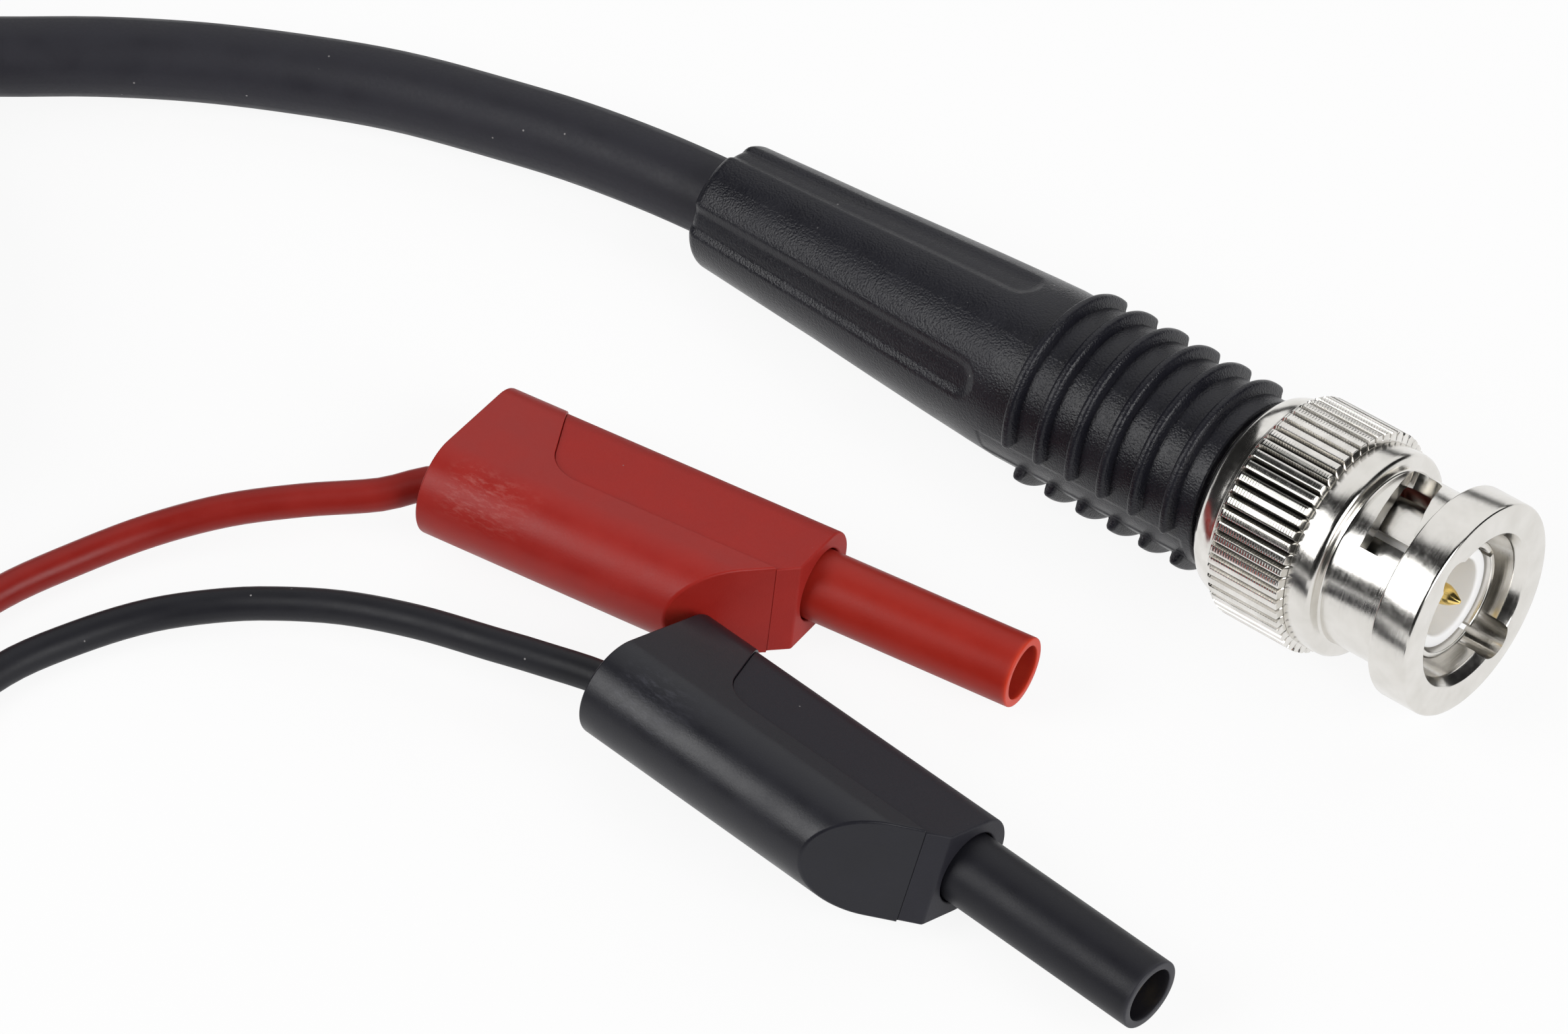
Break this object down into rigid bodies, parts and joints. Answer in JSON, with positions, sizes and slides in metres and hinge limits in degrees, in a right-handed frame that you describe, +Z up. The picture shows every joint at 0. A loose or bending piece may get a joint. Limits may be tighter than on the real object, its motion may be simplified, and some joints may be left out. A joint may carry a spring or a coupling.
{
  "type": "coaxial test lead",
  "caption": "Test lead: a bayonet coaxial plug with a ribbed boot on a tied cable that splits into red and black leads with sprung-sleeve safety plugs.",
  "frame": {"origin": "on the table under the middle of the three connectors", "axes": "+X along the connectors towards their mating ends, +Y from the safety plugs towards the bayonet plug, +Z up from the table"},
  "size_m": [0.1545, 0.1113, 0.0159],
  "materials": {
    "nickel": "bright nickel plate over turned brass",
    "spring_steel": "plain spring steel",
    "gold": "gold plate",
    "brass": "plain turned brass",
    "copper": "bare copper strand",
    "ptfe": "white, waxy",
    "silicone": "dull red",
    "boot_black": "black, fine moulded grain, satin",
    "cable_black": "black, matte, slightly dusty",
    "tie_black": "black woven hook-and-loop band",
    "plug_red": "deep red, satin moulded",
    "plug_black": "black, satin moulded",
    "lead_red": "red, smooth satin",
    "lead_black": "black, smooth satin"
  },
  "bodies": {
    "root": {"bayonet_body": "nickel", "black_contact_cage": "gold", "black_contact_link": "brass", "black_contact_pin": "gold", "black_crimp_barrel": "brass", "black_lead": "lead_black", "black_lead_wire": "copper", "black_plug_nose": "plug_black", "black_plug_shell": "plug_black", "black_shroud_spring": "spring_steel", "black_stack_socket": "brass", "centre_contact": "gold", "coax_braid_end": "copper", "coax_coil": "cable_black", "coax_core_end": "copper", "coax_dielectric_end": "ptfe", "coax_lead": "cable_black", "coax_tail": "cable_black", "coil_tie": "tie_black", "core_splice": "brass", "crimp_ferrule": "nickel", "insulator": "ptfe", "red_contact_cage": "gold", "red_contact_link": "brass", "red_contact_pin": "gold", "red_crimp_barrel": "brass", "red_lead": "lead_red", "red_lead_wire": "copper", "red_plug_nose": "plug_red", "red_plug_shell": "plug_red", "red_shroud_spring": "spring_steel", "red_stack_socket": "brass", "retaining_clip": "spring_steel", "sealing_gasket": "silicone", "shield_splice": "brass", "splitter_base": "boot_black", "splitter_cover": "boot_black", "strain_relief_boot": "boot_black", "wave_spring": "spring_steel"},
    "nut_carrier": {"thrust_washer": "nickel"},
    "nut": {"coupling_nut": "nickel"},
    "red_sleeve": {"red_shroud": "plug_red"},
    "black_sleeve": {"black_shroud": "plug_black"}
  },
  "joints": [
    {"name": "nut_slide", "type": "slide", "parent": "root", "child": "nut_carrier", "axis": [0.9975, 0, 0.07], "range_m": [0, 0.0006], "stiffness_N_per_m": 3000, "springref_m": -0.0003, "deforming": ["wave_spring"]},
    {"name": "nut_turn", "type": "hinge", "parent": "nut_carrier", "child": "nut", "pos_m": [0.02983, 0.01683, 0.00864], "axis": [0.9975, 0, 0.07], "continuous": true},
    {"name": "red_sleeve_slide", "type": "slide", "parent": "root", "child": "red_sleeve", "axis": [0.9839, 0.1788, 0], "range_m": [-0.009, 0], "stiffness_N_per_m": 60, "springref_m": 0.01, "deforming": ["red_shroud_spring"]},
    {"name": "black_sleeve_slide", "type": "slide", "parent": "root", "child": "black_sleeve", "axis": [0.9994, -0.0349, 0], "range_m": [-0.009, 0], "stiffness_N_per_m": 60, "springref_m": 0.01, "deforming": ["black_shroud_spring"]}
  ]
}
